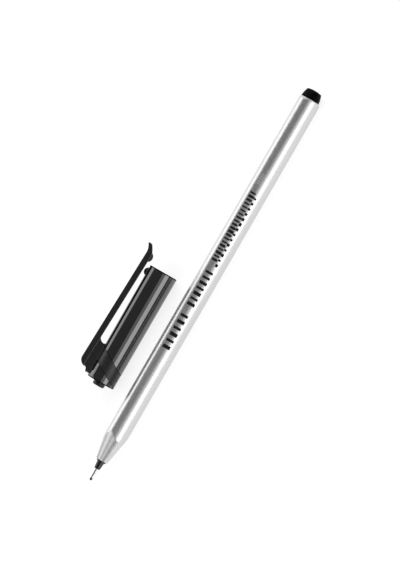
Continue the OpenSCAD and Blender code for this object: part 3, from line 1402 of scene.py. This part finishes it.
    def plate(self, name: str, outline: Sequence[Point]) -> bpy.types.Mesh:
        """Makes a flat plate from a side view, as wide as the web and with rounded edges.

        Args:
            name: the mesh's name.
            outline: closed side view, as distances along the cap and heights.

        Returns:
            The closed mesh.
        """
        half, count = self.web_width / 2, len(outline)
        verts = [self.at(a, h, w) for w in (-half, half) for a, h in outline]
        faces: list[Sequence[int]] = [list(range(count)), list(range(count, 2 * count))]
        faces += [(i, (i + 1) % count, count + (i + 1) % count, count + i) for i in range(count)]
        mesh = mesh_from(name, verts, faces)
        work = bmesh.new()
        work.from_mesh(mesh)
        bmesh.ops.bevel(
            work,
            geom=[e for e in work.edges if e.calc_face_angle() > math.radians(PLATE_RIM)],
            offset=self.clip_edge * MM,
            offset_type="OFFSET",
            segments=PLATE_RIM_CUTS,
            profile=0.5,
            affect="EDGES",
        )
        bmesh.ops.triangulate(work, faces=[f for f in work.faces if len(f.verts) > 4])
        for face in work.faces:
            face.smooth = abs(face.normal.dot(self.across)) < FLAT
        work.to_mesh(mesh)
        work.free()
        mesh.set_sharp_from_angle(angle=math.radians(PLATE_CREASE))
        return mesh

    def web(self) -> bpy.types.Mesh:
        """Makes the web that carries the clip, with the round end of the gap behind it.

        Returns:
            The web's closed mesh.
        """
        bend_h = self.back_h(self.bend_a) - self.root_round
        near, neck_h = self.root_round - self.web_inset, self.back_h(self.neck_start)
        front = [
            (self.bend_a - near * math.cos(t), bend_h + near * math.sin(t))
            for t in map(math.radians, ramp(0, self.front_turn, self.front_steps))
        ]
        gap_h = self.cap_r + self.gap_foot
        wide, tall = self.gap_round, neck_h - self.clip_t + self.gap_overlap - gap_h
        gap = [
            (self.web_end + wide * (1 - math.cos(t)), gap_h + tall * math.sin(t))
            for t in map(math.radians, ramp(self.gap_turn, 0, self.gap_steps))
        ]
        foot = [
            (self.web_foot + self.foot_draft, self.core_r),
            (self.web_foot, self.cap_r + self.foot_rise),
            (self.root_start - self.front_draw, bend_h - self.front_draw),
        ]
        top, toe = neck_h - self.clip_t / 2, self.web_end + self.toe_past
        outline = foot + front + [(self.bend_a, top), (self.web_end + wide, top)] + gap
        outline += [(toe, self.cap_r - self.toe_sink), (toe, self.core_r)]
        return self.plate("cap_web", outline)

    def arm_sides(self, a: float) -> tuple[float, float]:
        """Heights of the clip's back and underside at a distance along the cap.

        Args:
            a: distance from the closed end.

        Returns:
            The back's height and the underside's.
        """
        back = self.back_h(a)
        under = back - self.clip_t
        flare = self.bump_a + self.flare_past
        if a > flare:
            share = (a - flare) / (self.clip_end - flare)
            tip = self.cap_r + self.tip_rise
            back += (tip - self.back_h(self.clip_end)) * share**2
            low = self.back_h(flare) - self.clip_t
            under = low + (tip - self.tip_t - low) * share**self.tip_belly
        if a < self.bend_a:
            drop = self.root_round - math.sqrt(max(0.0, self.root_round**2 - (self.bend_a - a) ** 2))
            back = self.back_h(self.bend_a) - drop
        nose = self.clip_end - a
        if nose < self.tip_round:
            middle, half = (back + under) / 2, (back - under) / 2
            half *= math.sqrt(max(0.0, 1 - (1 - nose / self.tip_round) ** 2))
            back, under = middle + half, middle - half
        return back, under

    def arm(self) -> bpy.types.Mesh:
        """Makes the clip's arm as one loft from its root to its flared tip.

        Returns:
            The arm's closed mesh.
        """
        reach = math.sqrt(self.root_round**2 - (self.root_round - self.clip_t) ** 2)
        tip, quarter = self.clip_end - self.tip_round, math.pi / 2
        stations = [self.bend_a - reach * math.cos(t) for t in ramp(0, quarter, self.root_steps)]
        stations += ramp(self.bend_a, self.bump_a, self.arm_steps)[1:]
        stations += ramp(self.bump_a, tip, self.flare_steps)[1:]
        stations += [tip + self.tip_round * math.sin(t) for t in ramp(0, quarter, self.tip_steps)[1:]]
        rings = [self.arm_ring(a) for a in stations]
        count = len(rings[0])
        verts = [v for ring in rings for v in ring]
        faces: list[Sequence[int]] = list(ring_faces(len(rings), count, closed=False))
        faces += [list(range(count)), list(range(len(verts) - count, len(verts)))]
        return mesh_from("clip_spring", verts, faces)

    def arm_ring(self, a: float) -> list[Vector]:
        """One section of the arm: a rectangle with rounded corners.

        Args:
            a: distance from the closed end.

        Returns:
            The section's points, in order.
        """
        back, under = self.arm_sides(a)
        tall = max(back - under, self.clip_least_t)
        edge = min(self.clip_edge, self.clip_edge_share * tall)
        half = self.clip_width / 2
        middle = (back + under) / 2
        points = []
        for side, way, start in [(1, 1, 0), (-1, 1, 90), (-1, -1, 180), (1, -1, 270)]:
            for t in map(math.radians, ramp(start, start + 90, self.corner_steps)):
                w = side * (half - edge) + edge * math.cos(t)
                h = middle + way * (tall / 2 - edge) + edge * math.sin(t)
                points.append(self.at(a, h, w))
        return points

    def bump(self) -> bpy.types.Mesh:
        """Makes the bump under the arm that bears on what is clipped.

        Returns:
            The bump's closed mesh.
        """
        height = self.cap_r + self.bump_rise + self.bump_r
        outline = [
            (self.bump_a + self.bump_r * math.cos(t), height + self.bump_r * math.sin(t))
            for t in map(math.radians, ramp(self.bump_from, self.bump_to, self.bump_steps))
        ]
        return self.plate("clip_bump", outline)

    def vent_plug(self, material: bpy.types.Material) -> bpy.types.Object:
        """Makes the small round plug on the closed end, with its breathing hole.

        Args:
            material: its finish.

        Returns:
            The plug.
        """
        shank = self.stub_shank_r - self.stub_play
        outline = rounded(
            [
                Corner(-self.stub_out, self.stub_vent_r, self.stub_vent_edge),
                Corner(-self.stub_out, self.stub_r, self.stub_round),
                Corner(-self.stub_lift, self.stub_r, self.stub_edge),
                Corner(-self.stub_lift, shank),
                Corner(self.end_t, shank),
                Corner(self.end_t, self.stub_vent_r),
            ]
        )
        mesh = lathe("vent_button", outline, self.turned, self.stub_sides)
        return finish_piece(add_object("vent_button", mesh, material), Body.CAP, Slot.CAP, "cap_vent_plug")

    def clip(self, material: bpy.types.Material) -> bpy.types.Object:
        """Makes the clip: its arm and the bump under it, joined in one piece that stands for the clip's neck
        and arm.

        Args:
            material: its finish.

        Returns:
            The clip.
        """
        arm, bump = self.arm(), self.bump()
        arm.materials.append(material)
        obj = add_object("clip_spring", join_meshes("clip_spring", [arm, bump]))
        middle = self.back_h((self.neck_start + self.neck_end) / 2) - self.clip_t / 2
        start, end = self.at(self.neck_start, middle, 0), self.at(self.neck_end, middle, 0)
        tuple(start)
        tuple(end)
        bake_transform(obj)
        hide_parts("clip_neck", "clip_arm")
        LOG.info("%s: %d faces, bends between cap and clip", obj.name, len(obj.data.polygons))
        return obj

    def build(self, finishes: Finishes) -> list[bpy.types.Object]:
        """Makes every piece of the cap.

        Args:
            finishes: the pen's finishes.

        Returns:
            The new pieces.
        """
        cover = join_meshes("cap_cover", [self.shell(finishes), self.bead(), self.web()])
        return [
            finish_piece(add_object("cap_cover", cover), Body.CAP, Slot.CAP, "cap_shell"),
            self.vent_plug(finishes.stub),
            self.clip(finishes.cap),
        ]


# Studio


@dataclass(frozen=True)
class Lamp:
    """A soft rectangular lamp that faces the pen.

    Attributes:
        name: the lamp's name.
        azimuth: its direction round the table from +X towards +Y, in degrees.
        low: height of its lower edge above the table, in degrees.
        high: height of its upper edge above the table, in degrees.
        distance: distance from the pen, in metres.
        length: its level size, in metres.
        radiance: brightness of its face, where 1 is white.
    """

    name: str
    azimuth: float
    low: float
    high: float
    distance: float
    length: float
    radiance: float

    def build(self, target: Vector) -> None:
        """Hangs the lamp.

        Args:
            target: the point that it faces.
        """
        turn, rise = math.radians(self.azimuth), math.radians((self.low + self.high) / 2)
        breadth = 2 * self.distance * math.tan(math.radians((self.high - self.low) / 2))
        away = Vector((math.cos(rise) * math.cos(turn), math.cos(rise) * math.sin(turn), math.sin(rise)))
        level = Vector((-math.sin(turn), math.cos(turn), 0))
        data = bpy.data.lights.new(self.name, "AREA")
        data.shape = "RECTANGLE"
        data.size, data.size_y = self.length, breadth
        data.energy = self.radiance * math.pi * self.length * breadth
        lamp = bpy.data.objects.new(self.name, data)
        lamp.location = target + away * self.distance
        lamp.rotation_euler = Matrix((level, away.cross(level), away)).transposed().to_euler()
        bpy.context.scene.collection.objects.link(lamp)


@dataclass
class Studio:
    """Floor, lamps, world and camera, which are no part of the pen.

    Attributes:
        pen_middle: the point that camera and lamps face, in metres.
        pen_length: length of the pen from ball to plug, in metres.
        elevation: height of the camera above the table, in degrees.
        roll: turn of the picture, in degrees.
        lens: focal length of the camera.
        sensor: width of its sensor.
        pen_pixels: length of the pen in the picture.
        middle_right_px: pixels from the picture's middle to the pen's, to the right.
        middle_down_px: the same, downwards.
        floor_size: side of the floor, in metres.
        floor_drop: gap between the floor and the pen.
        floor_grey: grey of the floor, linear.
        floor_rough: roughness of the floor.
        floor_glow: white that is added where the floor shows.
        world_grey: grey of the surroundings, linear.
        view_near: nearest point that the camera sees, in metres.
        view_far: farthest point that it sees, in metres.
        lamps: the lamps.
    """

    pen_middle: Vector
    pen_length: float
    elevation: float = 60.0
    roll: float = 60.0
    lens: float = 200.0
    sensor: float = 36.0
    pen_pixels: float = 449.7
    middle_right_px: float = 2.62
    middle_down_px: float = 0.52
    floor_size: float = 12.0
    floor_drop: float = 0.01
    floor_grey: float = 0.37
    floor_rough: float = 0.9
    floor_glow: float = 0.8
    world_grey: float = 0.13
    view_near: float = 0.01
    view_far: float = 50.0
    lamps: tuple[Lamp, ...] = (
        Lamp("near_softbox", -90.0, 0.5, 27.0, 0.8, 0.6, 2.3),
        Lamp("near_softbox_top", -90.0, 27.0, 48.0, 0.8, 0.6, 0.55),
        Lamp("near_side_point", -155.0, 0.5, 62.0, 0.8, 0.52, 0.85),
        Lamp("far_strip", 90.0, 0.5, 42.0, 0.9, 0.55, 1.5),
        Lamp("end_fill_point", 150.0, 30.0, 62.0, 1.1, 1.4, 1.05),
        Lamp("end_fill_plug", 30.0, 25.0, 60.0, 1.1, 1.4, 2.0),
    )

    def floor(self) -> None:
        """Lays the pale floor."""
        half, z = self.floor_size / 2, -self.floor_drop * MM
        mesh = bpy.data.meshes.new("floor")
        corners = [(-half, -half, z), (half, -half, z), (half, half, z), (-half, half, z)]
        mesh.from_pydata(corners, [], [(0, 1, 2, 3)])
        material, shader = new_material("pale_floor")
        graph = Graph(material.node_tree)
        graph.fill(
            shader,
            Base_Color=grey(self.floor_grey),
            Roughness=self.floor_rough,
            Specular_IOR_Level=0.0,
            Emission_Color=WHITE,
            Emission_Strength=graph.math("MULTIPLY", self.shown(graph), self.floor_glow),
        )
        floor = add_object("floor", mesh, material)

    @staticmethod
    def shown(graph: Graph) -> bpy.types.NodeSocket:
        """Adds the switch for what the camera sees, straight or in gloss and glass.

        Args:
            graph: the floor's nodes.

        Returns:
            1 where the floor shows, else 0.
        """
        path = graph.add("ShaderNodeLightPath").outputs
        mirrored = graph.math("MAXIMUM", path["Is Glossy Ray"], path["Is Transmission Ray"])
        return graph.math("MAXIMUM", path["Is Camera Ray"], mirrored)

    def world(self) -> None:
        """Sets the grey surroundings."""
        world = bpy.data.worlds.new("studio")
        bpy.context.scene.world = world
        world.use_nodes = True
        back = next(n for n in world.node_tree.nodes if n.type == "BACKGROUND")
        back.inputs["Color"].default_value = grey(self.world_grey)

    def camera(self) -> None:
        """Sets the camera across the pen, rolled so that the pen runs up to the right."""
        tilt, roll = math.radians(self.elevation), math.radians(self.roll)
        level = Vector((1, 0, 0))
        rise = Vector((0, math.sin(tilt), math.cos(tilt)))
        back = Vector((0, -math.cos(tilt), math.sin(tilt)))
        right = level * math.cos(roll) - rise * math.sin(roll)
        up = level * math.sin(roll) + rise * math.cos(roll)
        pixel = self.pen_length / self.pen_pixels
        aim = self.pen_middle - right * (self.middle_right_px * pixel) + up * (self.middle_down_px * pixel)
        distance = self.lens / self.sensor * pixel * max(IMAGE_W, IMAGE_H)
        data = bpy.data.cameras.new("camera")
        data.lens, data.sensor_width = self.lens, self.sensor
        data.clip_start, data.clip_end = self.view_near, self.view_far
        camera = bpy.data.objects.new("camera", data)
        turn = Matrix((right, up, back)).transposed().to_4x4()
        camera.matrix_world = Matrix.Translation(aim + back * distance) @ turn
        bpy.context.scene.collection.objects.link(camera)
        bpy.context.scene.camera = camera

    def build(self) -> None:
        """Sets up the whole studio."""
        self.floor()
        self.world()
        for lamp in self.lamps:
            lamp.build(self.pen_middle)
        self.camera()
        bpy.context.scene.view_settings.view_transform = "Standard"


def dress_nodes(nodes: dict[str, bpy.types.Object], finishes: Finishes) -> None:
    """Gives the CAD nodes that stay in view their finish.

    Args:
        nodes: the frame's nodes by name.
        finishes: the pen's finishes.
    """
    kept = {"ball": finishes.carbide, "refill_tube": finishes.tube, "ink_column": finishes.ink}
    for name, material in kept.items():
        mesh = nodes[name].data
        mesh.materials.clear()
        mesh.materials.append(material)
        LOG.info("%s: kept, %s", name, material.name)


def main() -> None:
    """Builds the dressed pen and its studio."""
    logging.basicConfig(level=logging.INFO, format="%(name)s %(message)s")
    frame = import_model()
    finishes = Finishes.make()
    stick = PenStick(SoftTriangle())
    pieces = stick.build(finishes) + Print(stick).build(finishes) + ClipCap().build(finishes)
    LOG.info("%d pieces made", len(pieces))
    dress_nodes(frame["nodes"], finishes)
    tail_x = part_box("end_plug")[1].x
    middle = Vector(((stick.ball_x + tail_x) / 2, 0, stick.axis_z))
    Studio(middle, tail_x - stick.ball_x).build()


if __name__ == "__main__":
    main()
